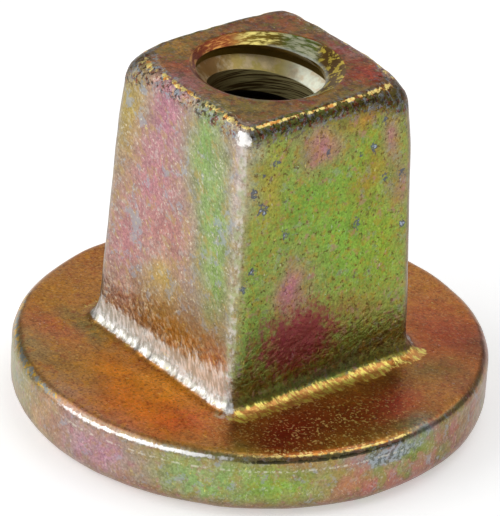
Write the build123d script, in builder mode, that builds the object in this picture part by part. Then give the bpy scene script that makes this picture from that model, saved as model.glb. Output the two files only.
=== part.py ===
from build123d import *
import os

# A one-piece hot-forged formwork nut: a round flange below, a tapered square body above and a
# coarse right-hand thread right through. Millimetres, +Z up, origin at the middle of the seat face.

# Flange
flange_diameter = 66.0
flange_thickness = 9.5
flange_rim_round = 2.2
flange_seat_round = 3.2

# Square body
total_height = 50.3
foot_across_flats = 32.0
top_across_flats = 28.8
upright_edge_round = 3.0
top_edge_round = 2.0
foot_fillet = 2.4

# Threaded bore: the groove's width is taken at the crests, the middle of its topmost turn
# crosses the +X side at the entry depth, and the countersinks open wider than the groove
thread_pitch = 7.2
thread_minor_diameter = 15.9
thread_depth = 1.6
thread_groove_width = 4.0
thread_root_width = 0.9
thread_entry_depth = 5.6
countersink_margin = 0.95
countersink_angle = 120.0

# The groove's cutter reaches this far in from the crests
cutter_overrun = 0.5

flange_radius = flange_diameter / 2
flats_draft_share = (foot_across_flats - top_across_flats) / (total_height - flange_thickness)
minor_radius = thread_minor_diameter / 2
countersink_radius = minor_radius + thread_depth + countersink_margin
groove_taper_share = (thread_groove_width - thread_root_width) / thread_depth

with BuildPart() as formwork_nut:
    # The flange is turned from its half section, with its rim rounded above and below
    with BuildSketch(Plane.XZ) as flange_section:
        with Locations((flange_radius / 2, flange_thickness / 2)):
            Rectangle(flange_radius, flange_thickness)
        fillet(flange_section.vertices().group_by(Axis.X)[-1].sort_by(Axis.Y)[0], flange_seat_round)
        fillet(flange_section.vertices().group_by(Axis.Y)[-1].sort_by(Axis.X)[-1], flange_rim_round)
    revolve(axis=Axis.Z)

    # The body is drawn between two rounded squares and starts halfway down the flange,
    # where its flats, carried on down at the same draft, are a little further apart
    root_height = flange_thickness / 2
    root_across_flats = foot_across_flats + flats_draft_share * (flange_thickness - root_height)
    with BuildSketch(Plane.XY.offset(root_height)):
        RectangleRounded(root_across_flats, root_across_flats, upright_edge_round)
    with BuildSketch(Plane.XY.offset(total_height)):
        RectangleRounded(top_across_flats, top_across_flats, upright_edge_round)
    loft()
    fillet(formwork_nut.edges(Select.NEW), foot_fillet)
    fillet(formwork_nut.faces().sort_by(Axis.Z)[-1].outer_wire().edges(), top_edge_round)

    # The thread is a tapered groove carried along a right-hand helix that starts more than a turn
    # below the seat and ends more than a turn above the top, so that it runs out through both ends
    turns_to_seat = int((total_height - thread_entry_depth) / thread_pitch) + 2
    helix_start = total_height - thread_entry_depth - turns_to_seat * thread_pitch
    turns_past_top = int(thread_entry_depth / thread_pitch) + 2
    helix_height = (turns_to_seat + turns_past_top) * thread_pitch
    with BuildLine() as thread_line:
        helix = Helix(thread_pitch, helix_height, minor_radius, center=(0, 0, helix_start))
    with BuildSketch(Plane(helix @ 0, x_dir=(1, 0, 0), z_dir=helix % 0)):
        cutter_width = thread_groove_width + groove_taper_share * cutter_overrun
        with BuildLine():
            Polyline(
                (-cutter_overrun, -cutter_width / 2),
                (thread_depth, -thread_root_width / 2),
                (thread_depth, thread_root_width / 2),
                (-cutter_overrun, cutter_width / 2),
                close=True,
            )
        make_face()
    sweep(path=thread_line.line, is_frenet=True, mode=Mode.SUBTRACT)

    # The bore then opens the middle to the thread's crests, with a countersink at each end
    with Locations((0, 0, total_height), Location((0, 0, 0), (180, 0, 0))):
        CounterSinkHole(minor_radius, countersink_radius, counter_sink_angle=countersink_angle)

formwork_nut.part.label = "formwork_nut"
os.makedirs("parts", exist_ok=True)
export_step(formwork_nut.part, "parts/formwork_nut.step")
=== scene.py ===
import math

import bpy
import numpy as np
from mathutils import Matrix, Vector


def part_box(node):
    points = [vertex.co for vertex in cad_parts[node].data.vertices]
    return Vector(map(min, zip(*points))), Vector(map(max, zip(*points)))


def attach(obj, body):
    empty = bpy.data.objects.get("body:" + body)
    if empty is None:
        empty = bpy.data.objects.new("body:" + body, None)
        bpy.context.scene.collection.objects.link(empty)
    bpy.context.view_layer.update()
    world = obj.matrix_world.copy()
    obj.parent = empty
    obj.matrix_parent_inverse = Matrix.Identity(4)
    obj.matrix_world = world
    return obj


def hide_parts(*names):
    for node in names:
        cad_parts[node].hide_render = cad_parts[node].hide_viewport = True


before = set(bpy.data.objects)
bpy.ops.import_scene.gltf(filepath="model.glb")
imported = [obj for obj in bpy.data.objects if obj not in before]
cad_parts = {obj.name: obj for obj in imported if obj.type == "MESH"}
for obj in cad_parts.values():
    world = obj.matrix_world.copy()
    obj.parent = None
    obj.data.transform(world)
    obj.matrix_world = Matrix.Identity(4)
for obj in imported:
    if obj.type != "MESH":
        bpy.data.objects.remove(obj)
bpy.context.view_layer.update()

# The nut is one hot-forged piece of steel: a drafted square body on a thick round flange.
# It is bored and tapped right through for a coarse tie rod, then zinc plated and yellow passivated.
# Its shapes are worked out in millimetres, in the frame of the solid that it stands for.
MM = 0.001
_, solid_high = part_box("formwork_nut")
flange_radius = solid_high.x / MM
total_height = solid_high.z / MM

flange_thickness = 9.5
seat_round = 3.2
foot_half_width = 16.0
top_half_width = 14.4
foot_fillet = 2.4
mouth_radius = 10.5

# The four upright edges in turn, at +X+Y, -X+Y, -X-Y and +X-Y, and how far each top corner is underfilled
upright_rounds = np.array([2.5, 3.4, 3.0, 2.3])
upright_rounds_at_top = np.array([3.8, 3.6, 4.2, 2.0])
upright_swell_height = 11.0
top_edge_round = 1.7
corner_drops = np.array([2.3, 0.2, 2.0, 0.0])
corner_drop_reach = 5.0

# Columns run round the nut: two half flats and a corner in each quarter, starting in the middle of +X
half_flat_columns = 38
corner_columns = 18
quarter_columns = 2 * half_flat_columns + corner_columns
column_steps = np.arange(quarter_columns)
run_x = np.tile(np.clip((quarter_columns - column_steps) / half_flat_columns, 0, 1), 4)
run_y = np.tile(np.clip(column_steps / half_flat_columns, 0, 1), 4)
corner_turn = np.clip((column_steps - half_flat_columns) / corner_columns, 0, 1) * math.pi / 2
column_turn = np.tile(corner_turn, 4)
column_quarter = np.repeat(np.arange(4), quarter_columns)
quarter_turn = column_quarter * math.pi / 2


def rounded_square(half_width, corner_round):
    """The outline of a square with round corners: the square drawn in by the corner round, plus that
    round along each column's own normal. Both sizes may be arrays of rows by columns."""
    reach = half_width - corner_round
    x = reach * run_x + corner_round * np.cos(column_turn)
    y = reach * run_y + corner_round * np.sin(column_turn)
    turned_x = x * np.cos(quarter_turn) - y * np.sin(quarter_turn)
    turned_y = x * np.sin(quarter_turn) + y * np.cos(quarter_turn)
    return turned_x, turned_y


def smooth_step(value, start, end):
    """0 before start, 1 after end, and the cubic 3t^2 - 2t^3 between them."""
    t = np.clip((value - start) / (end - start), 0, 1)
    return t * t * (3 - 2 * t)


def lumps(x, y, z, size, seed):
    """Smooth random lumps about size across, from -1 to 1: random values on a cubic lattice, blended
    between the eight lattice points round each place by smooth steps."""
    side = 48
    above_zero = 4096
    lattice = np.random.default_rng(seed).uniform(-1, 1, (side, side, side))
    shape = np.broadcast(x, y, z).shape
    place = [np.broadcast_to(axis, shape) / size + above_zero for axis in (x, y, z)]
    cell = [np.floor(axis).astype(int) for axis in place]
    share = [smooth_step(axis - floor, 0, 1) for axis, floor in zip(place, cell)]
    total = 0
    for dx in (0, 1):
        for dy in (0, 1):
            for dz in (0, 1):
                weight = (share[0] if dx else 1 - share[0]) * (share[1] if dy else 1 - share[1])
                weight = weight * (share[2] if dz else 1 - share[2])
                corner = lattice[(cell[0] + dx) % side, (cell[1] + dy) % side, (cell[2] + dz) % side]
                total = total + weight * corner
    return total


# Where each column stands: its angle from +X, its distance round the square and its nearness to each corner
middle_x, middle_y = rounded_square((foot_half_width + top_half_width) / 2, upright_rounds.mean())
column_angle = np.arctan2(middle_y, middle_x) % (2 * math.pi)
chord = np.hypot(np.roll(middle_x, -1) - middle_x, np.roll(middle_y, -1) - middle_y)
column_along = np.cumsum(chord) - chord
circuit = chord.sum()
corner_along = circuit * (np.arange(4)[:, None] + 0.5) / 4
corner_gap = np.abs((column_along - corner_along + circuit / 2) % circuit - circuit / 2)
corner_nearness = np.exp(-(corner_gap / corner_drop_reach) ** 2)

# The outside is drawn in bands of rows, from the lower mouth out under the seat, up the rim,
# in over the flange, up the body and in over the top to the upper mouth
seat_rows = 7
arc_rows = 11
rim_rows = 13
flange_rows = 22
fillet_rows = 13
side_rows = 55
top_rows = 11
bands = []


def add_circles(name, radius, height):
    """A band of rows that run round the nut: radius times the cosine and sine of each column's angle."""
    bands.append((name, radius * np.cos(column_angle), radius * np.sin(column_angle), height + 0 * radius))


def half_width_at(z):
    """The body's half width at a height: a straight draft from the flange to the top."""
    share = (z - flange_thickness) / (total_height - flange_thickness)
    return foot_half_width + (top_half_width - foot_half_width) * share


def upright_round_at(z):
    """Each column's corner round at a height: the upright's own, swelling towards the top."""
    swell = smooth_step(z, total_height - upright_swell_height, total_height)
    low_round = upright_rounds[column_quarter]
    return low_round + (upright_rounds_at_top[column_quarter] - low_round) * swell


# The rim's upper edge is worn rounder in some places than in others, by the angle from +X
rim_round_angles = np.array([0, 60, 140, 225, 255, 300, 330])
rim_rounds = np.array([1.2, 1.9, 2.0, 2.2, 1.9, 1.6, 1.3])
rim_round = np.interp(np.degrees(column_angle), rim_round_angles, rim_rounds, period=360)
quarter_arc = np.linspace(0, math.pi / 2, arc_rows)[1:, None] + 0 * column_angle
seat_inner = flange_radius - seat_round
rim_inner = flange_radius - rim_round
rim_foot = flange_thickness - rim_round
rim_heights = np.linspace(seat_round, rim_foot, rim_rows)[1:]
seat_radii = np.linspace(mouth_radius, seat_inner, seat_rows)[:, None] + 0 * column_angle
add_circles("seat", seat_radii, 0)
seat_round_radii = seat_inner + seat_round * np.sin(quarter_arc)
add_circles("seat_round", seat_round_radii, seat_round * (1 - np.cos(quarter_arc)))
add_circles("rim", flange_radius + 0 * rim_heights, rim_heights)
rim_round_radii = rim_inner + rim_round * np.cos(quarter_arc)
add_circles("rim_round", rim_round_radii, rim_foot + rim_round * np.sin(quarter_arc))

# The flange's top runs straight from the rim to the outer edge of the foot fillet
foot_round = upright_rounds[column_quarter]
fillet_x, fillet_y = rounded_square(foot_half_width + foot_fillet, foot_round + foot_fillet)
inward = np.linspace(0, 1, flange_rows)[1:-1, None]
band_x = rim_inner * np.cos(column_angle) * (1 - inward) + fillet_x * inward
band_y = rim_inner * np.sin(column_angle) * (1 - inward) + fillet_y * inward
bands.append(("flange", band_x, band_y, np.full(band_x.shape, flange_thickness)))

fillet_arc = np.linspace(0, math.pi / 2, fillet_rows)[:, None]
fillet_out = foot_fillet * (1 - np.sin(fillet_arc)) + 0 * column_angle
fillet_z = flange_thickness + foot_fillet * (1 - np.cos(fillet_arc)) + 0 * column_angle
band_x, band_y = rounded_square(half_width_at(fillet_z) + fillet_out, foot_round + fillet_out)
bands.append(("fillet", band_x, band_y, fillet_z))

# The top edge is rounder where the forging didn't quite fill its corners
edge_round = top_edge_round + (corner_drops[:, None] * corner_nearness).sum(axis=0)
climb = np.linspace(0, 1, side_rows)[1:, None]
side_foot = flange_thickness + foot_fillet
side_z = side_foot + (total_height - edge_round - side_foot) * climb
band_x, band_y = rounded_square(half_width_at(side_z), upright_round_at(side_z))
bands.append(("side", band_x, band_y, side_z))

least_corner_round = 0.25
edge_arc = np.linspace(0, math.pi / 2, arc_rows)[1:, None]
edge_in = edge_round * (1 - np.cos(edge_arc))
edge_z = total_height - edge_round * (1 - np.sin(edge_arc))
edge_corner = np.maximum(upright_round_at(edge_z) - edge_in, least_corner_round)
band_x, band_y = rounded_square(half_width_at(edge_z) - edge_in, edge_corner)
bands.append(("top_edge", band_x, band_y, edge_z))

inward = np.linspace(0, 1, top_rows)[1:, None]
mouth_x = mouth_radius * np.cos(column_angle)
mouth_y = mouth_radius * np.sin(column_angle)
top_x = band_x[-1] * (1 - inward) + mouth_x * inward
top_y = band_y[-1] * (1 - inward) + mouth_y * inward
bands.append(("top", top_x, top_y, np.full(top_x.shape, total_height)))

skin_x = np.concatenate([band[1] for band in bands])
skin_y = np.concatenate([band[2] for band in bands])
skin_z = np.concatenate([band[3] for band in bands])
skin_band = np.concatenate([[band[0]] * len(band[1]) for band in bands])[:, None]
skin_along = np.broadcast_to(column_along, skin_x.shape)

# Shares that say how far a place belongs to a zone of the forging
on_side = (skin_band == "side") + 0 * skin_x
on_edge = (skin_band == "top_edge") + 0 * skin_x
on_fillet = (skin_band == "fillet") + 0 * skin_x
on_flange = (skin_band == "flange") + 0 * skin_x
on_rim = np.isin(skin_band, ["rim", "rim_round", "seat_round"]) + 0 * skin_x
on_top = (skin_band == "top") + 0 * skin_x
fillet_climb = np.arccos(np.clip(1 - (skin_z - flange_thickness) / foot_fillet, 0, 1)) * 2 / math.pi
edge_climb = np.arcsin(np.clip(1 - (total_height - skin_z) / edge_round, 0, 1)) * 2 / math.pi
rim_climb = np.arcsin(np.clip((skin_z - rim_foot) / rim_round, 0, 1)) * 2 / math.pi
above_fillet = np.clip(skin_z - side_foot, 0, None)
below_edge = np.clip(total_height - edge_round - skin_z, 0, None)
from_square = np.clip(np.hypot(skin_x, skin_y) - np.hypot(fillet_x, fillet_y), 0, None)
along_only = (skin_along, 0 * skin_along, 0 * skin_along)
pleat_rise = 1.0 + 0.8 * lumps(*along_only, 1.3, 14)
fillet_share = on_fillet + on_side * np.exp(-(above_fillet / pleat_rise) ** 2)
fillet_share = fillet_share * (0.35 + 0.65 * smooth_step(fillet_climb, 0.2, 0.45))
foot_rise = 5.0 + 1.6 * lumps(*along_only, 6.0, 15)
foot_share = on_side * np.exp(-(np.clip(above_fillet - 1.0, 0, None) / foot_rise) ** 2)
edge_share = on_edge + on_side * np.exp(-(below_edge / 0.6) ** 2)

# The forging's unevenness, along each place's normal: broad waves, small dents, the pleats that the die's
# fillet drew, wrinkles above them, battered top edges and a fine bead round the rim
across = np.stack([np.roll(a, -1, 1) - np.roll(a, 1, 1) for a in (skin_x, skin_y, skin_z)])
upward = np.stack([np.gradient(a, axis=0) for a in (skin_x, skin_y, skin_z)])
normal = np.cross(across, upward, axis=0)
normal = normal / np.maximum(np.linalg.norm(normal, axis=0), 1e-9)

slant = skin_along + 0.25 * (skin_z - flange_thickness)
slant_only = (slant, 0 * slant, 0 * slant)
pleats = lumps(*slant_only, 0.95, 11) + 0.5 * lumps(*slant_only, 0.5, 12)
pleats = pleats * (0.75 + 0.5 * lumps(*slant_only, 5.0, 13))
here = (skin_x, skin_y, skin_z)
pleat_depth = 0.17
push = pleat_depth * pleats * fillet_share
for depth, size, seed, share in (
    (0.10, 9.0, 1, on_side + on_flange + on_top),
    (0.035, 2.4, 2, on_side + on_flange + on_rim + on_top),
    (0.08, 1.15, 3, foot_share),
    (0.13, 1.3, 4, edge_share),
    (0.10, 5.0, 5, on_rim),
):
    push = push + depth * lumps(*here, size, seed) * share
bead_groove_depth = 0.10
bead_groove_width = 0.3
for bead_edge in (7.4, 6.5):
    bead_groove = np.exp(-((skin_z - bead_edge) / bead_groove_width) ** 2)
    push = push - bead_groove_depth * bead_groove * (skin_band == "rim")

# Nicks knocked into the flats beside the front edge and the right one, and the same half a turn round:
# each has its place and its size
nick_depth = 0.08
nicks = [
    (14.6, -9.4, 44.6, 0.7), (14.7, -11.5, 43.2, 0.5), (14.8, -12.7, 41.1, 0.9), (14.9, -11.4, 38.4, 1.0),
    (14.7, 7.2, 42.5, 0.8), (14.7, 4.8, 42.1, 0.5), (14.6, 8.9, 46.2, 0.6), (14.7, -0.7, 43.6, 0.6),
    (14.7, -2.1, 42.7, 0.5), (14.9, 12.2, 37.5, 0.7), (14.9, 9.2, 37.6, 0.7), (15.1, 4.7, 31.9, 0.8),
    (15.2, 12.6, 29.8, 0.6), (15.1, -7.6, 33.5, 0.7), (15.2, -12.8, 30.0, 0.7), (15.3, -14.0, 27.5, 0.7),
]
nick_share = 0 * skin_x
for nick_x, nick_y, nick_z, nick_size in nicks:
    for way in (1, -1):
        gap = np.hypot(np.hypot(way * skin_x - nick_x, way * skin_y - nick_y), (skin_z - nick_z) * 0.8)
        gap = gap + 0.35 * lumps(*here, 0.8, 6)
        nick_share = np.maximum(nick_share, 1 - smooth_step(gap, 0.55 * nick_size, 1.15 * nick_size))
push = push - nick_depth * nick_share
skin_x = skin_x + normal[0] * push
skin_y = skin_y + normal[1] * push
skin_z = skin_z + normal[2] * push

# Nothing stands proud of the solid's own box, and the two mouths stay true for the bore to meet
shrink = np.minimum(flange_radius / np.hypot(skin_x, skin_y), 1)
skin_x = skin_x * shrink
skin_y = skin_y * shrink
skin_z = np.clip(skin_z, 0, total_height)
for row, height in ((0, 0.0), (-1, total_height)):
    skin_x[row] = mouth_x
    skin_y[row] = mouth_y
    skin_z[row] = height

# The bore: a tapered groove climbs round it, and its rows climb with the groove, so that crests and roots
# stay crisp. At both ends the rows stop where the countersink's cone meets the thread.
thread_pitch = 7.2
crest_radius = 7.95
groove_depth = 1.6
groove_half_width = 2.02
root_half_width = 0.45
thread_entry_depth = 5.6
countersink_slope = math.tan(math.radians(60))
bore_angle = np.append(column_angle, 2 * math.pi)
helix_z = total_height - thread_entry_depth + thread_pitch * bore_angle / (2 * math.pi)


def thread_radius(gap):
    """The bore's radius at a gap along the axis from the middle of a groove: the crests' radius, and deeper
    by a share that rises in a straight line from the groove's edge to its flat root."""
    share = np.clip((groove_half_width - np.abs(gap)) / (groove_half_width - root_half_width), 0, 1)
    return crest_radius + groove_depth * share


def cone_radius(z):
    """The countersinks' radius at a height: the mouth's, less the slope times the depth from the
    nearer end."""
    return mouth_radius - countersink_slope * np.minimum(z, total_height - z)


def lip_height(heights):
    """The height at which each column's cone meets the thread: the first of the heights, taken from a mouth
    inwards, where the thread is as wide as the cone."""
    gap = (heights - helix_z + thread_pitch / 2) % thread_pitch - thread_pitch / 2
    return heights[np.argmax(thread_radius(gap) >= cone_radius(heights), axis=0), 0]


cone_search_depth = 1.6
cone_depths = np.linspace(0, cone_search_depth, 400)[:, None]
seat_lip = lip_height(cone_depths)
top_lip = lip_height(total_height - cone_depths)

# Rows across a groove and the crest above it, by their heights from the groove's middle
groove_places = np.array([-2.02, -1.24, -0.45, 0.45, 1.24, 2.02, 2.8, 3.6, 4.4])
turn_count = int(total_height / thread_pitch) + 3
turns = (np.arange(turn_count) - turn_count + 2) * thread_pitch
bore_z = np.clip(helix_z + (turns[:, None] + groove_places).reshape(-1, 1), seat_lip, top_lip)
bore_radius = thread_radius(np.tile(groove_places, turn_count))[:, None]
bore_radius = np.where((bore_z == seat_lip) | (bore_z == top_lip), cone_radius(bore_z), bore_radius)
cone_share = np.linspace(0, 1, 5)[:, None]
seat_cone_z = seat_lip * cone_share
top_cone_z = top_lip + (total_height - top_lip) * cone_share
top_cone_lip = np.clip(1 - 3 * cone_share, 0, 1) + 0 * top_cone_z
bore_lip = np.concatenate([0 * seat_cone_z, bore_z == top_lip, top_cone_lip])
bore_z = np.concatenate([seat_cone_z, bore_z, top_cone_z])
bore_radius = np.concatenate([cone_radius(seat_cone_z), bore_radius, cone_radius(top_cone_z)])
bore_x = bore_radius * np.cos(bore_angle)
bore_y = bore_radius * np.sin(bore_angle)


def grid_faces(rows, columns, first, inward):
    """The quads between neighbouring rows and columns of a grid of vertices, turned to face out or in."""
    index = first + np.arange(rows * columns).reshape(rows, columns)
    corners = [index[:-1, :-1], index[:-1, 1:], index[1:, 1:], index[1:, :-1]]
    quads = np.stack(corners, axis=-1).reshape(-1, 4)
    return quads[:, [1, 0, 3, 2]] if inward else quads


def closed(grid):
    """A grid with its first column repeated as its last."""
    return np.concatenate([grid, grid[:, :1]], axis=1)


skin_points = np.stack([closed(skin_x), closed(skin_y), closed(skin_z)], axis=-1)
bore_points = np.stack([bore_x, bore_y, bore_z], axis=-1)
points = np.concatenate([skin_points.reshape(-1, 3), bore_points.reshape(-1, 3)])
skin_quads = grid_faces(*skin_points.shape[:2], 0, False)
bore_quads = grid_faces(*bore_points.shape[:2], skin_points[..., 0].size, True)
quads = np.concatenate([skin_quads, bore_quads])

# Rows that ran past a mouth lie on its edge: vertices in one place become one, and flat quads go
_, kept, welded = np.unique(np.round(points, 4), axis=0, return_index=True, return_inverse=True)
quads = welded.reshape(-1)[quads]
whole = (quads[:, 0] != quads[:, 3]) & (quads[:, 1] != quads[:, 2])
first_flat = (quads[:, 0] == quads[:, 3]) & (quads[:, 1] != quads[:, 2])
second_flat = (quads[:, 1] == quads[:, 2]) & (quads[:, 0] != quads[:, 3])
triangles = np.concatenate([quads[first_flat][:, [0, 1, 2]], quads[second_flat][:, [0, 1, 3]]])
nut_mesh = bpy.data.meshes.new("formwork_nut_skin")
nut_mesh.from_pydata((points[kept] * MM).tolist(), [], quads[whole].tolist() + triangles.tolist())
nut_mesh.validate()
nut_mesh.shade_smooth()
crease_degrees = 38
nut_mesh.set_sharp_from_angle(angle=math.radians(crease_degrees))
nut = bpy.data.objects.new("formwork_nut_skin", nut_mesh)
bpy.context.scene.collection.objects.link(nut)

# The passivation's colours: a thin film whose tint drifts with its thickness, so each face has its own
# drift of ochre, rose and green, the flange is orange to brick red, and bare zinc shows grey at the edges


def tint(red, green, blue):
    """A colour as it looks on a screen, 0 to 255, in the linear values that a shader takes."""
    return (np.array([red, green, blue]) / 255) ** 2.2


def per_point(skin_values):
    """One value for each vertex of the mesh, from the skin's grid; the bore's own vertices get none."""
    skin_full = closed(np.broadcast_to(skin_values, skin_x.shape))
    return np.concatenate([skin_full.ravel(), np.zeros(bore_x.size)])[kept]


faces_y = np.sin(column_turn + quarter_turn) ** 2
along_y = smooth_step(faces_y, 0.35, 0.75)
edge_turn = np.degrees(column_turn)
# The front and back uprights: rubbed pale, with a painted highlight
wear_and_highlight_turn = smooth_step(edge_turn, 8, 28) * (1 - smooth_step(edge_turn, 45, 54))
wear_and_highlight_turn = wear_and_highlight_turn * np.isin(column_quarter, [1, 3])
# The left and right uprights: painted shade
corner_shade_turn = smooth_step(edge_turn, 8, 35) * (1 - smooth_step(edge_turn, 55, 82))
corner_shade_turn = corner_shade_turn * np.isin(column_quarter, [0, 2])
on_body = on_side + on_edge + on_fillet * smooth_step(fillet_climb, 0.3, 0.42)
rose_side = per_point(on_body * faces_y)
green_side = per_point(on_body * (1 - faces_y))
on_shoulder = (skin_band == "rim_round") + 0 * skin_x
shoulder_top = on_shoulder * smooth_step(rim_climb, 0.5, 0.75)
flange_zone = per_point(on_flange + shoulder_top + on_fillet * (1 - smooth_step(fillet_climb, 0.3, 0.42)))
rim_zone = per_point(on_rim - shoulder_top)
top_zone = per_point(on_top + on_edge * smooth_step(edge_climb, 0.75, 1.0))
under_edge_zone = per_point(on_side * np.exp(-(below_edge / 2.4) ** 2))
edge_zone = per_point(edge_share * (1 - smooth_step(edge_climb, 0.8, 1.0)))
foot_zone = per_point(foot_share + on_fillet * smooth_step(fillet_climb, 0.5, 0.8))
wear_and_highlight_zone = per_point((on_side + on_fillet) * wear_and_highlight_turn)
corner_shade_zone = per_point((on_side + on_edge) * corner_shade_turn)

# Painted highlights on the fillets: pale above a crisp line on the flats along Y, where the band widens
# towards one end, and gold below it on the flats along X, where the gold thins out towards one end: the
# gold film brightened as a painted highlight
pale_reach = 1.3 + 2.0 * smooth_step(-skin_x * np.sign(skin_y), 0, 12)
pale_rise = smooth_step(fillet_climb, 0.36, 0.46) * np.exp(-(above_fillet / pale_reach) ** 2)
pale_fillet_highlight_zone = per_point((on_fillet + on_side) * pale_rise * along_y)
gold_end = skin_y * np.sign(skin_x)
gold_reach = 0.9 - 0.5 * smooth_step(gold_end, 7, 11)
gold_rise = (1 - smooth_step(fillet_climb, 0.30, 0.58)) * np.exp(-(from_square / gold_reach) ** 2)
gold_rise = gold_rise * (0.85 + 0.35 * lumps(*along_only, 2.5, 16))
gold_tip = smooth_step(skin_y, 13, 15) * (skin_x > 0)
gold_rise = gold_rise * (1 - 0.7 * smooth_step(gold_end, 8, 11.5) + 0.6 * gold_tip)
gold_fillet_highlight_zone = per_point((on_fillet + on_flange) * gold_rise * (1 - along_y))

# Lines along the edges: painted highlights, gold along the top edges and white and then gold along the
# rim's shoulder, painted shade dark under the rim's gold, and chips at the left
gold_highlight_width = 0.11 + 0.15 * along_y
gold_edge_highlight = on_edge * np.exp(-((edge_climb - 0.66) / gold_highlight_width) ** 2)
gold_highlight_line = per_point(gold_edge_highlight * (1 - 0.8 * corner_shade_turn))
half_turn = (np.degrees(column_angle) - 20) % 180
white_turn = smooth_step(half_turn, 62, 80) * (1 - smooth_step(half_turn, 112, 126))
gold_turn = smooth_step(half_turn, 112, 126) * (1 - smooth_step(half_turn, 158, 170))
rim_white_highlight = per_point(on_shoulder * white_turn * np.exp(-((rim_climb - 0.36) / 0.13) ** 2))
rim_gold_highlight = per_point(on_shoulder * gold_turn * np.exp(-((rim_climb - 0.56) / 0.1) ** 2))
chip_turn = smooth_step(half_turn, 8, 20) * (1 - smooth_step(half_turn, 64, 80))
chip_turn = chip_turn * (column_angle > math.pi)
rim_chips = per_point(on_shoulder * chip_turn * np.exp(-((rim_climb - 0.5) / 0.2) ** 2))
rim_shade = per_point(on_shoulder * gold_turn * np.exp(-((rim_climb - 0.18) / 0.2) ** 2))
rim_front = per_point(on_rim * np.maximum(white_turn, gold_turn))

# Zones round a middle: the nicks, and the gold glitter and the red on the flange
px, py, pz = points[kept].T


def nearness_to(middle, reach, x, y, z, ways=(1, -1)):
    """How near each place is to a middle: e to the minus square of the distance, measured in reaches
    along X, Y and Z. The way -1 stands for the same middle half a turn round."""
    nearness = 0
    for way in ways:
        gap = ((way * x - middle[0]) / reach[0]) ** 2 + ((way * y - middle[1]) / reach[1]) ** 2
        nearness = np.maximum(nearness, np.exp(-gap - ((z - middle[2]) / reach[2]) ** 2))
    return nearness


nick_zone = 0
for nick_x, nick_y, nick_z, nick_size in nicks:
    reach = (1.3 * nick_size, 1.3 * nick_size, 1.6 * nick_size)
    nick_zone = np.maximum(nick_zone, nearness_to((nick_x, nick_y, nick_z), reach, px, py, pz))
glitter_zone = flange_zone * np.maximum(0.12, nearness_to((25, -9, 9.5), (9, 12, 4), px, py, pz))
red_zone = glitter_zone
for middle, reach in (((20, 20, 9.5), (16, 14, 4)), ((27, 3, 9.5), (7, 10, 4))):
    red_zone = np.maximum(red_zone, flange_zone * nearness_to(middle, reach, px, py, pz, (1,)))

# Pale bare spots on the flats along Y, and painted highlights as bright white on the front edge's two ends
pale_spots = 0
for middle, reach in (
    ((-7.0, -15.3, 26), (2.0, 4, 6)), ((-5.0, -15.6, 19), (2.0, 4, 2)), ((-10.9, -14.6, 45), (2.0, 4, 3)),
    ((12.1, -15.1, 33), (1.6, 3, 3)), ((10.5, -15.6, 21), (2.0, 3, 3)),
):
    pale_spots = np.maximum(pale_spots, nearness_to(middle, reach, px, py, pz))
highlight_spots = nearness_to((16.2, -16.2, 10.6), (1.1, 1.1, 1.2), px, py, pz)
highlight_spots = np.maximum(highlight_spots, nearness_to((13.0, -13.8, 48.6), (1.6, 1.0, 1.4), px, py, pz))
grey_patch = nearness_to((32.6, -1.5, 7.2), (3, 6.5, 1.7), px, py, pz)
maroon_zone = nearness_to((15.7, -4.5, 17.2), (3, 7.6, 5.6), px, py, pz)


def drift(seed):
    """How far the film has run at each place, in millimetres: broad lumps and weaker small ones."""
    return 1.3 * lumps(px, py, pz, 4.0, seed) + 0.7 * lumps(px, py, pz, 1.4, seed + 3)


def brush(under, mask, colour):
    """The paint with a colour laid over it, as thick as the mask says."""
    return under + (np.array(colour) - under) * np.clip(mask, 0, 1)[:, None]


drift_x = px + drift(21)
drift_y = py + drift(22)
drift_z = pz + drift(23)
paint = np.tile(tint(150, 122, 70), (len(px), 1))
for zone, colour in (
    (green_side, tint(128, 154, 70)),
    (rose_side, tint(162, 140, 126)),
    (flange_zone, tint(194, 126, 58)),
    (rim_zone, tint(146, 138, 100)),
    (top_zone, tint(138, 84, 26)),
):
    paint = brush(paint, zone, colour)

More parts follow.
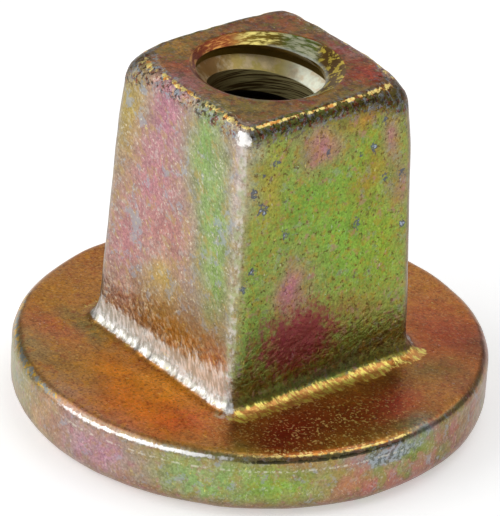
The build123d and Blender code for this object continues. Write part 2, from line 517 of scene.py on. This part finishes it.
# Soft-edged dabs, each with its middle, its reach along X, Y and Z, and its colour
dabs = [
    # The -Y flat: ochre at its left, rose, green towards the front edge, and brown over the fillet
    ((-10.5, -14.8, 42), (3.5, 4, 9), tint(170, 150, 70)),
    ((-1.8, -14.5, 46), (4.0, 4, 6), tint(176, 118, 134)),
    ((-4.0, -14.8, 35), (5.5, 4, 8), tint(178, 120, 128)),
    ((-9.5, -15.3, 24), (4.5, 4, 8), tint(180, 120, 124)),
    ((0.5, -15.2, 29), (5.0, 4, 5), tint(182, 124, 118)),
    ((6.0, -14.5, 45), (3.2, 3, 7), tint(130, 164, 88)),
    ((8.8, -14.8, 37), (3.2, 3, 8), tint(132, 164, 92)),
    ((10.6, -15.1, 27), (2.8, 3, 8), tint(130, 164, 80)),
    ((13.0, -14.5, 43), (1.2, 2.5, 7), tint(192, 172, 172)),
    ((-0.5, -15.5, 21.5), (4.0, 4, 3), tint(190, 160, 84)),
    ((2.0, -15.7, 15.8), (10, 4, 3.4), tint(164, 128, 52)),
    ((12.4, -15.6, 15.0), (2.2, 3, 3.4), tint(176, 124, 110)),
    # The +X flat: green with ochre and rose drifts, dark maroon and olive low down
    ((14.7, 4.0, 42), (3, 8, 8), tint(128, 158, 58)),
    ((14.6, -2.2, 44.5), (3, 3.6, 3.2), tint(184, 104, 128)),
    ((14.5, 5.0, 47.3), (3, 3.0, 1.2), tint(182, 122, 62)),
    ((14.9, 6.6, 38), (3, 2.4, 4), tint(160, 138, 58)),
    ((14.7, 10.0, 43), (3, 1.6, 4), tint(166, 122, 112)),
    ((15.0, 11.3, 35), (3, 1.2, 4), tint(164, 116, 112)),
    ((14.9, -4.0, 38), (3, 4.5, 5), tint(118, 156, 62)),
    ((14.7, -10.8, 41), (3, 2.6, 6), tint(160, 150, 66)),
    ((15.2, 2.8, 30), (3, 5, 6), tint(126, 168, 64)),
    ((15.3, -6.0, 25), (3, 3.6, 4), tint(172, 102, 122)),
    ((15.3, 9.0, 28), (3, 4, 6), tint(138, 164, 54)),
    ((15.6, 5.5, 19.5), (3, 4, 3), tint(146, 134, 68)),
    ((15.8, 11.0, 13.5), (3, 4, 2.6), tint(108, 104, 48)),
    ((15.7, -13.2, 16), (3, 2.4, 5.0), tint(112, 150, 72)),
    ((16.4, 0, 11.5), (1.6, 16, 1.2), tint(104, 104, 62)),
]

# The flange and the rim are seen round more than half a turn, so each has its dabs once only
ring_dabs = [
    # The flange: olive brown at the left, orange at the front left, deep red at the front right, then brick
    ((-28, 0, 9.5), (8, 12, 3), tint(166, 98, 34)),
    ((-24, -18, 9.5), (7, 7, 3), tint(180, 118, 32)),
    ((-13, -19, 9.5), (6, 2.2, 3), tint(120, 118, 62)),
    ((-16, -23, 9.5), (5, 3, 3), tint(186, 92, 52)),
    ((-6, -27, 9.5), (7, 4, 3), tint(150, 104, 30)),
    ((0, -22.5, 9.5), (6, 3, 3), tint(230, 150, 26)),
    ((7, -20.0, 9.5), (5, 3, 3), tint(240, 158, 30)),
    ((8, -26.0, 9.5), (5, 3, 3), tint(234, 146, 34)),
    ((15, -22.4, 9.5), (6, 4, 3), tint(216, 98, 52)),
    ((24, -13.0, 9.5), (7, 7, 3), tint(142, 32, 22)),
    ((25, -3.0, 9.5), (5, 5, 3), tint(146, 52, 28)),
    # Painted shadow: dark brown on the flange beside the right flat
    ((21, 7.8, 9.5), (4, 4, 3), tint(116, 72, 30)),
    ((26, 4.0, 9.5), (5, 5, 3), tint(172, 54, 44)),
    ((31, 3.0, 9.5), (2.6, 7, 3), tint(112, 104, 44)),
    ((16, 23.0, 9.5), (11, 8, 3), tint(174, 70, 40)),
    ((22, 15.0, 9.5), (3.4, 4, 3), tint(132, 104, 46)),
    # The rim: olive and ochre at the left, mauve, green at the front, then rose, bare grey, and brown
    # painted as shade at the right
    ((-14, -29.8, 5.5), (7, 5, 6), tint(146, 142, 98)),
    ((-2.4, -32.9, 6), (5, 4, 6), tint(178, 142, 104)),
    ((8.5, -31.6, 5.5), (8, 4, 4), tint(186, 138, 158)),
    ((22, -24, 5.4), (6, 6, 4), tint(138, 170, 104)),
    ((28, -17.5, 5.0), (5, 6, 3), tint(130, 166, 68)),
    ((32, -8.6, 4.7), (3, 3, 2.5), tint(178, 130, 84)),
    ((32.4, -4.6, 3.6), (3, 3, 2), tint(180, 104, 98)),
    ((32.8, 1.9, 6.4), (3, 2.4, 2), tint(126, 142, 56)),
    ((30.7, 12, 5.5), (4, 5, 3), tint(146, 80, 64)),
    ((28.5, 16, 6.5), (4, 5, 4), tint(140, 88, 62)),
    ((21.5, 25, 5.5), (6, 5, 6), tint(98, 64, 42)),
    ((31.5, 9, 2.0), (4, 8, 2.4), tint(110, 72, 52)),
    ((32.5, -3.5, 8.0), (2, 5, 1.2), tint(132, 140, 142)),
    ((32.0, 4.0, 8.2), (2, 4, 1.0), tint(132, 140, 142)),
    # The top: ochre and red brown towards the left corner, olive at the front, red at the right
    ((-11, -8, 50.3), (3.5, 3.5, 3), tint(160, 120, 40)),
    ((-6.5, -10, 50.3), (2.5, 2.5, 3), tint(160, 78, 44)),
    ((-11, 10.6, 50.3), (5, 5, 3), tint(138, 76, 36)),
    ((8.7, -9.1, 50.3), (4, 3, 3), tint(132, 112, 40)),
    ((10, 10, 50.3), (3.5, 3.5, 3), tint(164, 54, 34)),
    ((12.5, 3.5, 50.3), (2.5, 4, 3), tint(118, 100, 40)),
]
dab_strength = 0.92
for ways, group in (((1, -1), dabs), ((1,), ring_dabs)):
    for middle, reach, colour in group:
        dab = nearness_to(middle, reach, drift_x, drift_y, drift_z, ways)
        paint = brush(paint, dab_strength * dab, colour)
# Painted shade: brown over the left and right uprights' rounds and their top edges
paint = brush(paint, 0.8 * corner_shade_zone, tint(104, 78, 50))
# Painted shade: the rim reddish brown towards its foot
paint = brush(paint, 0.6 * rim_zone * (1 - smooth_step(drift_z, 1.6, 3.4)), tint(142, 92, 80))

paint_layer = nut_mesh.attributes.new("film_tint", "FLOAT_COLOR", "POINT")
paint_layer.data.foreach_set("color", np.column_stack([paint, np.ones(len(px))]).astype(np.float32).ravel())


class Wire:
    """A socket of the finish's node tree. Sums on wires add Math nodes, and node() adds any other node."""

    def __init__(self, tree, socket=None):
        self.tree = tree
        self.socket = socket

    def node(self, kind, settings, inputs, output=0):
        """A new node: first its settings, then values or wires for its inputs, by name or by number."""
        made = self.tree.nodes.new(kind)
        for name, value in settings.items():
            setattr(made, name, value)
        for name, value in inputs.items():
            if isinstance(value, Wire):
                self.tree.links.new(value.socket, made.inputs[name])
            else:
                made.inputs[name].default_value = value
        return Wire(self.tree, made.outputs[output])

    def math(self, operation, first, second):
        """A Math node on two values or wires."""
        return self.node("ShaderNodeMath", {"operation": operation}, {0: first, 1: second})

    def __add__(self, other):
        return self.math("ADD", self, other)

    def __radd__(self, other):
        return self.math("ADD", other, self)

    def __sub__(self, other):
        return self.math("SUBTRACT", self, other)

    def __rsub__(self, other):
        return self.math("SUBTRACT", other, self)

    def __mul__(self, other):
        return self.math("MULTIPLY", self, other)

    def __rmul__(self, other):
        return self.math("MULTIPLY", other, self)


finish = bpy.data.materials.new("yellow_passivated_zinc")
finish.use_nodes = True
tree = finish.node_tree
shader = tree.nodes["Principled BSDF"]
wire = Wire(tree)
place = wire.node("ShaderNodeTexCoord", {}, {}, "Object")
place_mm = wire.node("ShaderNodeVectorMath", {"operation": "SCALE"}, {0: place, "Scale": 1 / MM})


def stored(name, values):
    """Keep a value from 0 to 1 at each vertex of the mesh, and read it in the finish."""
    layer = nut_mesh.attributes.new(name, "FLOAT", "POINT")
    layer.data.foreach_set("value", np.clip(values, 0, 1).astype(np.float32))
    return wire.node("ShaderNodeAttribute", {"attribute_name": name}, {}, "Fac")


def counted(size, stretch, turn):
    """The place counted in lumps of a size in millimetres, stretched along their axes and turned by
    an angle in degrees round each."""
    scale = tuple(size * part for part in stretch)
    turn = tuple(math.radians(angle) for angle in turn)
    inputs = {"Vector": place_mm, "Rotation": turn, "Scale": scale}
    return wire.node("ShaderNodeMapping", {"vector_type": "TEXTURE"}, inputs)


def grain(size, detail=2.0, rough=0.5, stretch=(1, 1, 1), turn=(0, 0, 0)):
    """Noise with lumps of a size in millimetres, stretched and turned."""
    inputs = {"Vector": counted(size, stretch, turn), "Scale": 1.0, "Detail": detail, "Roughness": rough}
    return wire.node("ShaderNodeTexNoise", {}, inputs)


def between(value, start, end):
    """0 at start and before, 1 at end and after, and smooth between; start may be the greater."""
    inputs = {"Value": value, "From Min": start, "From Max": end}
    return wire.node("ShaderNodeMapRange", {"interpolation_type": "SMOOTHSTEP"}, inputs)


def mixed(amount, first, second):
    """Two colours mixed by an amount; each is a tint or a wire."""
    colours = [colour if isinstance(colour, Wire) else (*colour, 1) for colour in (first, second)]
    return wire.node("ShaderNodeMix", {"data_type": "RGBA"}, {0: amount, 6: colours[0], 7: colours[1]}, 2)


def scaled(colour, amount):
    """A colour made darker or lighter by an amount."""
    return wire.node("ShaderNodeVectorMath", {"operation": "SCALE"}, {0: colour, "Scale": amount})


rose_part = stored("rose_side", rose_side)
green_part = stored("green_side", green_side)
foot_part = stored("foot", foot_zone)
edge_part = stored("edge", edge_zone)
under_edge_part = stored("under_edge", under_edge_zone)
flange_part = stored("flange", flange_zone)
rim_part = stored("rim", rim_zone)
top_part = stored("top", top_zone)
wear_and_highlight_part = stored("worn_and_highlight_edge", wear_and_highlight_zone)
pale_fillet_highlight_part = stored("pale_fillet_highlight", pale_fillet_highlight_zone)
gold_fillet_highlight_part = stored("gold_fillet_highlight", gold_fillet_highlight_zone)
gold_highlight_line_part = stored("gold_highlight_line", gold_highlight_line)
rim_white_highlight_part = stored("rim_white_highlight", rim_white_highlight)
rim_gold_highlight_part = stored("rim_gold_highlight", rim_gold_highlight)
rim_shade_part = stored("rim_shade", rim_shade)
rim_front_part = stored("rim_front", rim_front)
nick_part = stored("nick", nick_zone)
glitter_part = stored("glitter", glitter_zone)
red_part = stored("red_flange", red_zone)
pale_spot_part = stored("pale_spots", pale_spots)
highlight_spot_part = stored("highlight_spots", highlight_spots)
grey_patch_part = stored("grey_patch", grey_patch)
maroon_part = stored("maroon", maroon_zone)
right_rim_part = stored("right_rim", nearness_to((32, 0, 5), (12, 10, 8), px, py, pz, (1,)))
rim_chip_part = stored("rim_chips", rim_chips)
lip_zone = np.concatenate([np.zeros(skin_points[..., 0].size), bore_lip.ravel()])[kept]
lip_part = stored("lip", lip_zone)
film = wire.node("ShaderNodeAttribute", {"attribute_name": "film_tint"}, {}, "Color")
spot_x = wire.node("ShaderNodeSeparateXYZ", {}, {0: place_mm}, "X")
spot_y = wire.node("ShaderNodeSeparateXYZ", {}, {0: place_mm}, "Y")
spot_z = wire.node("ShaderNodeSeparateXYZ", {}, {0: place_mm}, "Z")

# Every surface has cloudy drifts of the film's thickness and a fine grain
film = scaled(film, 0.5 + 1.0 * grain(2.6, 5.0, 0.68))
film = scaled(film, 0.25 + 0.25 * flange_part + (1.5 - 0.5 * flange_part) * grain(0.36, 2.0, 0.65))

# Ochre, rose and brown grains on the flats along X and on the rim, darker under the top edge, and pits
ochre_grain = between(grain(1.1, 4.0, 0.7), 0.50, 0.62)
film = mixed(0.4 * ochre_grain * (green_part + 0.8 * rim_part), film, tint(176, 136, 46))
rose_grain = between(grain(1.5, 4.0, 0.7), 0.55, 0.67)
film = mixed(0.45 * rose_grain * (green_part + rim_part), film, tint(180, 112, 124))
brown_grain = between(grain(0.8, 3.0, 0.7), 0.55, 0.63)
film = mixed(0.3 * brown_grain * green_part, film, tint(160, 108, 64))
film = mixed(0.8 * brown_grain * under_edge_part * green_part, film, tint(66, 62, 28))
pits = between(grain(0.62, 2.5, 0.65), 0.60, 0.68)
film = mixed(0.6 * pits * (green_part + 0.4 * rim_part + 0.4 * flange_part), film, tint(96, 54, 36))

# The rim's film lies in swirls of rose and green
swirls = grain(2.8, 2.0, 0.45)
swirl_part = rim_part * (0.12 + 0.4 * right_rim_part)
film = mixed(swirl_part * between(swirls, 0.51, 0.58), film, tint(184, 112, 108))
film = mixed(swirl_part * between(swirls, 0.48, 0.41), film, tint(136, 154, 74))

# Yellow and brick streaks on the flange, red, olive and dark grains on the top, and gold glitter
yellow_grain = between(grain(1.5, 5.0, 0.72), 0.50, 0.64)
brick_grain = between(grain(1.9, 5.0, 0.72), 0.52, 0.64)
film = mixed(0.55 * yellow_grain * (flange_part - red_part), film, tint(214, 146, 30))
film = mixed(0.45 * brick_grain * flange_part, film, tint(162, 66, 36))
dark_grain = between(grain(1.3, 5.0, 0.75), 0.54, 0.42)
film = scaled(film, 1 + 0.05 * flange_part + top_part * (0.2 - 0.6 * dark_grain))
film = mixed(0.8 * brick_grain * top_part, film, tint(146, 40, 22))
film = mixed(0.75 * yellow_grain * top_part, film, tint(126, 110, 34))
film = mixed(0.2 * between(grain(0.8, 3.0, 0.65), 0.58, 0.66) * top_part, film, tint(140, 152, 168))
fine_grain = grain(0.42, 2.0, 0.65)
light_grain = between(fine_grain, 0.56, 0.70) * (flange_part - 0.85 * red_part)
film = mixed(0.5 * light_grain, film, tint(226, 168, 84))
film = mixed(0.5 * between(fine_grain, 0.44, 0.34) * flange_part, film, tint(92, 46, 24))
glitter = between(grain(0.4, 1.0, 0.5) + 0.25 * grain(2.0), 0.71, 0.78)
film = mixed(glitter * glitter_part, film, tint(250, 214, 140))

# Gold grains, silvery flecks and cream sparks lean down and to the right on the flats along Y
lean = (0, -45, 0)
gold_grain = between(grain(1.3, 4.0, 0.66, (0.8, 0.8, 1.5), lean), 0.50, 0.66)
film = mixed(0.55 * gold_grain * rose_part, film, tint(182, 154, 88))
flecks = between(grain(0.8, 2.5, 0.55, (0.85, 0.85, 1.3), lean), 0.54, 0.68)
fleck_amount = flecks * (0.34 * rose_part + 0.18 * rim_part + 0.04 * top_part)
film = mixed(fleck_amount, film, tint(198, 200, 190))
patches = between(grain(2.0, 5.0, 0.72) + 0.07 * pale_spot_part, 0.57, 0.64)
patch_amount = 0.6 * rose_part + 0.5 * rim_part + 0.1 * top_part + 0.6 * edge_part + 0.2 * green_part
patch_amount = patch_amount * patches
film = mixed(patch_amount, film, tint(164, 172, 180))
sparks = between(grain(0.44, 2.0, 0.6, (0.85, 0.85, 1.3), lean), 0.60, 0.72)
film = mixed(sparks * (0.6 * rose_part + 0.3 * rim_part + 0.1 * top_part), film, tint(234, 228, 204))

# Nicks show dark with bare light cores
nick_grain = grain(0.6, 3.0, 0.6) + 0.5 * nick_part
film = mixed(0.85 * between(nick_grain, 0.84, 0.92), film, tint(82, 88, 102))
film = mixed(0.8 * between(nick_grain, 1.00, 1.08), film, tint(176, 188, 204))

# Folds above the fillets: painted shade in the hollows and painted highlight on the crests
lean_folds = grain(0.62, 2.5, 0.6, (0.95, 0.95, 1.3), (0, -35, 0)) * rose_part
level_folds = grain(0.66, 2.5, 0.6, (1, 1.25, 0.9), (19, 0, 0)) * green_part
folds = lean_folds + level_folds
maroon_amount = between(maroon_part + 1.6 * grain(1.0, 4.0, 0.7), 0.95, 1.6)
film = mixed(0.85 * maroon_amount, film, tint(140, 34, 66))
film = mixed(0.6 * foot_part * between(folds, 0.50, 0.36), film, tint(84, 54, 28))
film = mixed(0.7 * foot_part * rose_part * between(folds, 0.53, 0.64), film, tint(226, 212, 182))
film = mixed(0.35 * foot_part * green_part * between(folds, 0.56, 0.68), film, tint(176, 166, 120))

# The fillets' painted highlight bands, pale and gold, end in rags that follow the pleats upwards
streaks = grain(0.55, 3.0, 0.6, (1, 1, 3.5), (0, -20, 0))
pale_highlight_rags = between(pale_fillet_highlight_part + 1.6 * streaks, 1.0, 1.6)
pale_highlight_film = mixed(between(streaks, 0.42, 0.6), tint(196, 194, 182), tint(253, 250, 246))
film = mixed(0.9 * pale_highlight_rags, film, pale_highlight_film)
gold_streaks = grain(0.55, 3.5, 0.65, (2.4, 1, 2.4), (0, 0, 12))
gold_highlight_rags = between(gold_fillet_highlight_part + 1.8 * gold_streaks, 1.15, 1.5)
gold_highlight_film = mixed(between(gold_streaks, 0.44, 0.6), tint(214, 150, 86), tint(254, 238, 124))
film = mixed(0.9 * gold_highlight_rags, film, gold_highlight_film)

# The front edge is rubbed pale, with a painted highlight over it, and the top edges are battered grey and
# dark, with a band of painted shade on those of the flats along X
wear_and_highlight_amount = wear_and_highlight_part * between(grain(0.9, 4.0, 0.7, (0.8, 0.8, 1.5)), 0.38, 0.58)
wear_and_highlight_film = mixed(between(grain(1.6, 3.0, 0.6), 0.42, 0.6), tint(178, 194, 146), tint(236, 230, 224))
film = mixed(0.55 * wear_and_highlight_amount, film, wear_and_highlight_film)
# Painted shade: a dark band on the top edges of the flats along X, under the gold highlight line
film = mixed(0.6 * edge_part * green_part, film, tint(72, 60, 36))
film = mixed(0.8 * edge_part * between(grain(0.8, 3.0, 0.65), 0.50, 0.60), film, tint(138, 142, 146))
film = mixed(0.8 * edge_part * between(grain(0.7, 3.0, 0.65), 0.54, 0.62), film, tint(128, 56, 34))
film = mixed(0.75 * edge_part * between(grain(0.62, 2.5, 0.6), 0.54, 0.62), film, tint(52, 36, 24))

# Painted highlight lines, the painted shade line under the rim's gold, chips and a bare grey patch, broken
# by their own grain
ragged = 1.3 * grain(0.7, 2.5, 0.6)
highlight_line_film = mixed(between(grain(0.9, 2.0, 0.6), 0.36, 0.54), tint(228, 150, 72), tint(254, 230, 140))
broken_highlight_line = gold_highlight_line_part + 2.4 * grain(0.8, 2.5, 0.6) - 0.3 * rose_part
# Painted highlight: a broken gold line along the top edges
film = mixed(0.95 * between(broken_highlight_line, 1.75, 2.05), film, highlight_line_film)
# Painted shade: a dark line under the rim's gold
film = mixed(0.9 * between(rim_shade_part + ragged, 1.25, 1.5), film, tint(66, 62, 44))
# Painted highlights along the rim's shoulder: white, then gold
film = mixed(0.95 * between(rim_white_highlight_part + 1.6 * ragged, 1.4, 2.0), film, tint(248, 247, 244))
film = mixed(0.95 * between(rim_gold_highlight_part + 1.6 * ragged, 1.55, 1.85), film, highlight_line_film)
chip_film = mixed(between(grain(1.1, 3.0, 0.6), 0.46, 0.56), tint(150, 154, 150), tint(222, 176, 70))
film = mixed(0.9 * between(rim_chip_part + 1.6 * ragged, 1.65, 1.85), film, chip_film)
grey_film = mixed(between(grain(0.6, 3.0, 0.65), 0.42, 0.56), tint(92, 98, 98), tint(160, 170, 180))
film = mixed(0.75 * between(grey_patch_part + 1.6 * grain(1.1, 5.0, 0.75), 1.25, 1.55), film, grey_film)
# Painted highlight: a thin pale line along the bead on the front of the rim
bead_gap = wire.math("ABSOLUTE", spot_z - 7.35 + 0.4 * grain(6.0), 0)
bead_highlight_line = between(bead_gap, 0.2, 0.08) * rim_front_part * between(ragged, 0.6, 0.75)
film = mixed(0.45 * bead_highlight_line, film, tint(236, 232, 214))
# Painted highlights: bright white at the front edge's foot and top corner
film = mixed(between(highlight_spot_part + 0.5 * ragged, 0.75, 0.95), film, tint(252, 250, 246))

# Relief in millimetres: fine peel everywhere, folds above the fillets, and battered edges
relief = 0.034 * grain(0.5, 2.5, 0.55) + 0.05 * grain(1.6, 2.0, 0.5)
relief = relief + 0.17 * foot_part * folds + 0.14 * edge_part * grain(0.65, 3.0, 0.6)
relief = relief + 0.05 * (pale_highlight_rags + gold_highlight_rags) * streaks - 0.03 * pits * green_part

# Inside the mouth the tapped bore takes over. Its first groove is painted darker as shade, and the lit
# flank below that turns from brown by way of yellow to a pale green. Below it the crests are grey with
# turning marks, and the grooves are painted dark as shade. The countersink is red, then yellow, then green,
# with a rubbed lip. Leftward runs from about 1 at the mouth's left, as the camera sees it, to -1 at its
# right.
flat_place = wire.node("ShaderNodeVectorMath", {"operation": "MULTIPLY"}, {0: place_mm, 1: (1, 1, 0)})
radius = wire.node("ShaderNodeVectorMath", {"operation": "LENGTH"}, {0: flat_place}, "Value")
end_depth = wire.math("MINIMUM", spot_z, total_height - spot_z)
bore_part = 1 - between(radius, mouth_radius - 0.1, mouth_radius)
cone_gap = wire.math("ABSOLUTE", radius - mouth_radius + countersink_slope * end_depth, 0)
cone_part = (1 - between(cone_gap, 0.03, 0.08)) * bore_part
turn_share = wire.math("ARCTAN2", -1 * spot_y, -1 * spot_x) * (0.5 / math.pi) + 0.5
below_groove = total_height - thread_entry_depth + thread_pitch * turn_share - spot_z
flank_part = between(below_groove, root_half_width - 0.05, root_half_width + 0.05)
crest_part = between(below_groove, groove_half_width - 0.05, groove_half_width + 0.05)
leftward = spot_x * -0.063 + spot_y * -0.077
flank_film = mixed(between(leftward, 0.2, 0.8), tint(198, 178, 96), tint(160, 118, 66))
flank_film = mixed(between(leftward, -0.1, -0.5), flank_film, tint(226, 228, 206))
flank_film = mixed(0.7 * between(grain(2.2, 3.0, 0.6), 0.46, 0.6), flank_film, tint(212, 190, 152))
flank_film = scaled(flank_film, 0.55 + 0.9 * grain(1.6, 4.0, 0.65))
turning_marks = grain(0.22, 3.0, 0.6, (30, 30, 1))
crest_film = mixed(between(turning_marks, 0.44, 0.6), tint(198, 186, 132), tint(84, 66, 36))
crest_film = mixed(0.8 * between(leftward, 0.2, 0.8), crest_film, tint(92, 66, 34))
# Painted shade: the first groove, above the lit flank, is darker olive
bore_film = mixed(flank_part, tint(136, 112, 54), flank_film)
bore_film = mixed(crest_part, bore_film, crest_film)
groove_phase = wire.math("FLOORED_MODULO", below_groove + thread_pitch / 2, thread_pitch)
groove_gap = wire.math("ABSOLUTE", groove_phase - thread_pitch / 2, 0)
# Painted shade: the grooves of the lower turns are dark
lower_groove_shade = between(groove_gap, groove_half_width + 0.1, groove_half_width - 0.1)
lower_groove_shade = lower_groove_shade * between(below_groove, groove_half_width + 1, groove_half_width + 2)
bore_film = mixed(lower_groove_shade, bore_film, tint(46, 34, 20))
cone_marks = grain(0.24, 3.0, 0.65, (9, 9, 1))
cone_film = mixed(between(cone_marks, 0.40, 0.56), tint(228, 212, 124), tint(112, 92, 36))
cone_green = mixed(between(cone_marks, 0.42, 0.6), tint(214, 214, 178), tint(112, 126, 56))
cone_film = mixed(between(leftward, -0.1, -0.3), cone_film, cone_green)
cone_chips = mixed(between(grain(1.0, 3.0, 0.6), 0.5, 0.58), tint(118, 88, 44), tint(232, 204, 82))
cone_film = mixed(between(leftward, -0.6, -0.75), cone_film, cone_chips)
cone_red = mixed(between(cone_marks, 0.46, 0.68), tint(124, 58, 32), tint(206, 146, 78))
cone_film = mixed(between(leftward, 0.2, 0.6), cone_film, cone_red)
lip_amount = between(lip_part, 0.4, 0.9) * between(leftward, 0.1, -0.15)
cone_film = mixed(0.6 * lip_amount, cone_film, tint(204, 208, 200))
bore_film = mixed(cone_part, bore_film, cone_film)
film = mixed(bore_part, film, bore_film)
relief = relief + 0.05 * bore_part * crest_part * turning_marks

bump = wire.node("ShaderNodeBump", {}, {"Strength": 1.0, "Distance": MM, "Height": relief})
rough = 0.24 + 0.16 * grain(2.0, 2.0, 0.5) + 0.16 * patch_amount + 0.08 * fleck_amount + 0.08 * edge_part
metal = 0.88 - 0.5 * bore_part * flank_part - 0.6 * pale_highlight_rags * foot_part
tree.links.new(film.socket, shader.inputs["Base Color"])
tree.links.new(rough.socket, shader.inputs["Roughness"])
tree.links.new(metal.socket, shader.inputs["Metallic"])
tree.links.new(bump.socket, shader.inputs["Normal"])
nut_mesh.materials.append(finish)
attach(nut, "root")
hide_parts("formwork_nut")

# The stage: a plain pale floor that takes the nut's shadow, just under its seat.
# It glows a little for the camera and for what mirrors it, so that it stays pale in a modest light.
floor_half = 3.0
floor_drop = 0.03 * MM
floor_mesh = bpy.data.meshes.new("floor")
floor_corners = np.array([(-1, -1, 0), (1, -1, 0), (1, 1, 0), (-1, 1, 0)]) * floor_half - (0, 0, floor_drop)
floor_mesh.from_pydata(floor_corners.tolist(), [], [(0, 1, 2, 3)])
floor = bpy.data.objects.new("floor", floor_mesh)
bpy.context.scene.collection.objects.link(floor)
floor_finish = bpy.data.materials.new("pale_floor")
floor_finish.use_nodes = True
floor_shader = floor_finish.node_tree.nodes["Principled BSDF"]
floor_shader.inputs["Base Color"].default_value = (0.92, 0.92, 0.92, 1)
floor_shader.inputs["Roughness"].default_value = 0.9
floor_shader.inputs["Specular IOR Level"].default_value = 0.1
floor_wire = Wire(floor_finish.node_tree)
seen = 0
for ray in ("Is Camera Ray", "Is Glossy Ray", "Is Transmission Ray"):
    seen = seen + floor_wire.node("ShaderNodeLightPath", {}, {}, ray)
unlit = (0, 0, 0, 1)
faint_glow = (0.42, 0.42, 0.42, 1)
glow = floor_wire.node("ShaderNodeMix", {"data_type": "RGBA"}, {0: seen, 6: unlit, 7: faint_glow}, 2)
floor_finish.node_tree.links.new(glow.socket, floor_shader.inputs["Emission Color"])
floor_shader.inputs["Emission Strength"].default_value = 1.0
floor_mesh.materials.append(floor_finish)

# A dim room with four soft boxes: a large one at the front left, a small one at the front, and one high
# at the back and a faint one at the back left, which the flange and the top mirror
room_strength = 0.18
room = bpy.data.worlds.new("grey_room")
room.use_nodes = True
room.node_tree.nodes["Background"].inputs["Color"].default_value = (1, 1, 1, 1)
room.node_tree.nodes["Background"].inputs["Strength"].default_value = room_strength
bpy.context.scene.world = room


def soft_box(name, direction, distance, size, watts):
    """A square area lamp that faces the middle of the nut from a direction."""
    lamp = bpy.data.lights.new(name, "AREA")
    lamp.size = size
    lamp.energy = watts
    holder = bpy.data.objects.new(name, lamp)
    aim = np.array(direction, float) / np.linalg.norm(direction)
    side = np.cross((0, 0, 1), aim)
    side = side / np.linalg.norm(side)
    stand = np.eye(4)
    stand[:3, :3] = np.column_stack([side, np.cross(aim, side), aim])
    stand[:3, 3] = aim * distance + np.array([0, 0, total_height * MM / 2])
    holder.matrix_world = Matrix(stand.tolist())
    bpy.context.scene.collection.objects.link(holder)


soft_box("front_left_box", (-0.4145, -0.718, 0.559), 0.8, 0.8, 3.5)
soft_box("front_box", (0.24, -0.87, 0.42), 0.8, 0.55, 1.0)
soft_box("high_back_box", (0.15, 0.42, 0.86), 0.9, 0.9, 3.0)
soft_box("back_left_box", (-0.68, 0.555, 0.48), 1.0, 0.9, 1.15)

# The camera stands where the photograph was taken from, with its slight roll. Its place and its long lens
# were fitted to the nut's outline and edges.
camera_azimuth = math.radians(50.737)
camera_elevation = math.radians(28.676)
camera_roll = math.radians(3.489)
camera_distance = 517.2 * MM
target_right = -0.75 * MM
target_height = 20.93 * MM
focal_pixels = 3781.9
image_height = 516
back = np.array([
    math.sin(camera_azimuth) * math.cos(camera_elevation),
    -math.cos(camera_azimuth) * math.cos(camera_elevation),
    math.sin(camera_elevation),
])
level = np.array([math.cos(camera_azimuth), math.sin(camera_azimuth), 0])
upright = np.cross(back, level)
eye = level * target_right + np.array([0, 0, target_height]) + back * camera_distance
rolled_level = math.cos(camera_roll) * level + math.sin(camera_roll) * upright
rolled_upright = math.cos(camera_roll) * upright - math.sin(camera_roll) * level
lens = bpy.data.cameras.new("photo_camera")
lens.sensor_fit = "VERTICAL"
lens.sensor_height = 36
lens.lens = focal_pixels / image_height * lens.sensor_height
camera = bpy.data.objects.new("photo_camera", lens)
pose = np.eye(4)
pose[:3] = np.column_stack([rolled_level, rolled_upright, back, eye])
camera.matrix_world = Matrix(pose.tolist())
bpy.context.scene.collection.objects.link(camera)
bpy.context.scene.camera = camera
bpy.context.scene.view_settings.view_transform = "Standard"
